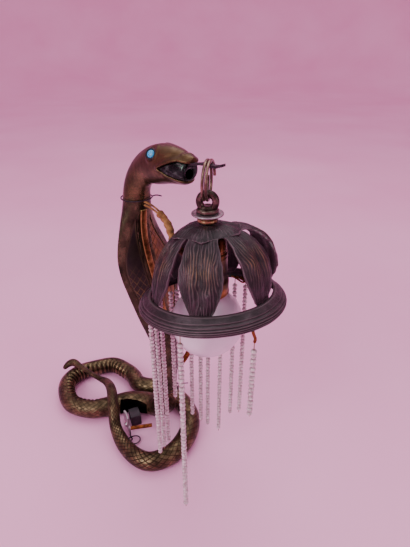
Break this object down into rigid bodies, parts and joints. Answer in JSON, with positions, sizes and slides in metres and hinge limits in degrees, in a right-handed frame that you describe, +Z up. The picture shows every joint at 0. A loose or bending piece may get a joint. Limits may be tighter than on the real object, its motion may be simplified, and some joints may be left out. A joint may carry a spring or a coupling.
{
  "type": "snake lamp",
  "caption": "Table lamp: a cast brass cobra on its own coils holds a lantern of bent metal petals, hung with bead strands, by a split ring on its tongue.",
  "frame": {"origin": "on the table, under the middle of the whole lamp, the hanging lantern and its strands included", "axes": "+Z up; the snake faces -Y; the outlet tube stands out on the +X side"},
  "size_m": [0.1332, 0.3166, 0.3488],
  "materials": {
    "aged_brass": "cast, worked with scales, aged to brown and olive, rubbed bright on the high parts",
    "worn_brass": "cast or turned, aged orange brown",
    "dark_enamel": "dark brown lacquer with a gold scale mesh",
    "brown_enamel": "red brown lacquer with dark veins",
    "turquoise_stone": "polished pale blue stone",
    "black_iron": "blackened iron and dark lead",
    "rusted_steel": "orange rust",
    "zinc_steel": "dull zinc plated",
    "shade_bronze": "dark purple brown sheet with fine raised veins and pinkish rubs",
    "frosted_glass": "frosted white",
    "cap_alloy": "rolled bright alloy",
    "porcelain": "glazed off-white",
    "clear_beads": "clear and milky, faintly pink",
    "tan_tape": "tan cotton tape and bare tan wires",
    "grey_lining": "grey green, glossy"
  },
  "bodies": {
    "snake": {"tail_casting": "aged_brass", "coil_casting": "aged_brass", "body_casting": "aged_brass", "hood_panel_left": "dark_enamel", "hood_panel_right": "brown_enamel", "throat_strip": "worn_brass", "head_casting": "worn_brass", "mouth_lining": "grey_lining", "tongue": "black_iron", "eye_bezel_left": "black_iron", "eye_stone_left": "turquoise_stone", "eye_bezel_right": "black_iron", "eye_stone_right": "turquoise_stone", "neck_tie_wire": "black_iron", "foot_tie_wire": "black_iron", "outlet_tube": "rusted_steel", "terminal_bracket": "zinc_steel", "bracket_screw": "zinc_steel", "tie_rod": "rusted_steel", "terminal_block": "black_iron", "wire_loop": "black_iron", "throat_wire_upper": "tan_tape", "throat_wire_lower": "tan_tape"},
    "ring": {"split_ring": "aged_brass", "supply_cord": "tan_tape"},
    "lantern": {"eye_finial": "aged_brass", "washer": "zinc_steel", "locknut": "worn_brass", "threaded_nipple": "zinc_steel", "holder_cap": "worn_brass", "holder_body": "worn_brass", "holder_insert": "porcelain", "shade_crown": "shade_bronze", "shade_petal_1": "shade_bronze", "shade_petal_2": "shade_bronze", "shade_petal_3": "shade_bronze", "shade_petal_4": "shade_bronze", "shade_petal_5": "shade_bronze", "shade_petal_6": "shade_bronze", "rim_band": "shade_bronze", "strand_hook": "rusted_steel"},
    "bulb": {"bulb_glass": "frosted_glass", "bulb_cap": "cap_alloy", "bulb_contact": "cap_alloy"},
    "strand_left_outer": {"strand_left_outer": "clear_beads"},
    "strand_left_middle": {"strand_left_middle": "clear_beads"},
    "strand_left_inner": {"strand_left_inner": "clear_beads"},
    "strand_middle_left": {"strand_middle_left": "clear_beads"},
    "strand_middle_right": {"strand_middle_right": "clear_beads"},
    "strand_front": {"strand_front": "clear_beads"},
    "strand_rear_a": {"strand_rear_a": "clear_beads"},
    "strand_rear_b": {"strand_rear_b": "clear_beads"},
    "strand_rear_c": {"strand_rear_c": "clear_beads"},
    "strand_rear_d": {"strand_rear_d": "clear_beads"},
    "strand_right_a": {"strand_right_a": "clear_beads"},
    "strand_right_b": {"strand_right_b": "clear_beads"},
    "strand_hooked": {"strand_hooked": "clear_beads"}
  },
  "joints": [
    {"name": "ring_swing", "type": "hinge", "parent": "snake", "child": "ring", "pos_m": [0.01133, -0.09182, 0.33025], "axis": [-0.6225, 0.7826, 0], "range_deg": [-5, 5], "deforming": ["throat_wire_upper", "throat_wire_lower"]},
    {"name": "lantern_swing", "type": "hinge", "parent": "ring", "child": "lantern", "pos_m": [0.01133, -0.09182, 0.31482], "axis": [0.7826, 0.6225, 0], "range_deg": [-15, 4], "deforming": ["supply_cord"]},
    {"name": "bulb_turn", "type": "hinge", "parent": "lantern", "child": "bulb", "pos_m": [0.01133, -0.09182, 0.259], "axis": [0, 0, 1], "continuous": true},
    {"name": "strand_left_outer_swing", "type": "hinge", "parent": "lantern", "child": "strand_left_outer", "pos_m": [-0.02236, -0.0557, 0.22644], "axis": [-0.8241, -0.5664, 0], "range_deg": [-6, 5]},
    {"name": "strand_left_middle_swing", "type": "hinge", "parent": "lantern", "child": "strand_left_middle", "pos_m": [-0.01393, -0.05101, 0.2255], "axis": [-0.91, -0.4147, 0], "range_deg": [-6, 5]},
    {"name": "strand_left_inner_swing", "type": "hinge", "parent": "lantern", "child": "strand_left_inner", "pos_m": [-0.0062, -0.04822, 0.22485], "axis": [-0.9613, -0.2756, 0], "range_deg": [-6, 5]},
    {"name": "strand_middle_left_swing", "type": "hinge", "parent": "lantern", "child": "strand_middle_left", "pos_m": [0.00669, -0.0462, 0.22413], "axis": [-0.999, -0.0436, 0], "range_deg": [-3, 5]},
    {"name": "strand_middle_right_swing", "type": "hinge", "parent": "lantern", "child": "strand_middle_right", "pos_m": [0.01347, -0.04635, 0.22392], "axis": [-0.9969, 0.0785, 0], "range_deg": [-2, 5]},
    {"name": "strand_front_swing", "type": "hinge", "parent": "lantern", "child": "strand_front", "pos_m": [-0.04104, -0.12469, 0.23676], "axis": [0.4305, -0.9026, 0], "range_deg": [-45, 10]},
    {"name": "strand_rear_a_swing", "type": "hinge", "parent": "lantern", "child": "strand_rear_a", "pos_m": [0.02675, -0.04908, 0.22386], "axis": [-0.9483, 0.3173, 0], "range_deg": [-2, 5]},
    {"name": "strand_rear_b_swing", "type": "hinge", "parent": "lantern", "child": "strand_rear_b", "pos_m": [0.03562, -0.05295, 0.22411], "axis": [-0.8788, 0.4772, 0], "range_deg": [-6, 5]},
    {"name": "strand_rear_c_swing", "type": "hinge", "parent": "lantern", "child": "strand_rear_c", "pos_m": [0.04217, -0.05711, 0.22447], "axis": [-0.8039, 0.5948, 0], "range_deg": [-6, 5]},
    {"name": "strand_rear_d_swing", "type": "hinge", "parent": "lantern", "child": "strand_rear_d", "pos_m": [0.05137, -0.06565, 0.22537], "axis": [-0.6494, 0.7604, 0], "range_deg": [-35, 5]},
    {"name": "strand_right_a_swing", "type": "hinge", "parent": "lantern", "child": "strand_right_a", "pos_m": [0.0584, -0.07602, 0.22659], "axis": [-0.4617, 0.887, 0], "range_deg": [-35, 5]},
    {"name": "strand_right_b_swing", "type": "hinge", "parent": "lantern", "child": "strand_right_b", "pos_m": [0.06239, -0.08583, 0.22783], "axis": [-0.284, 0.9588, 0], "range_deg": [-35, 5]},
    {"name": "strand_hooked_swing", "type": "hinge", "parent": "lantern", "child": "strand_hooked", "pos_m": [0.00018, -0.15631, 0.22842], "axis": [0.9833, -0.1822, 0], "range_deg": [-45, 10]}
  ]
}
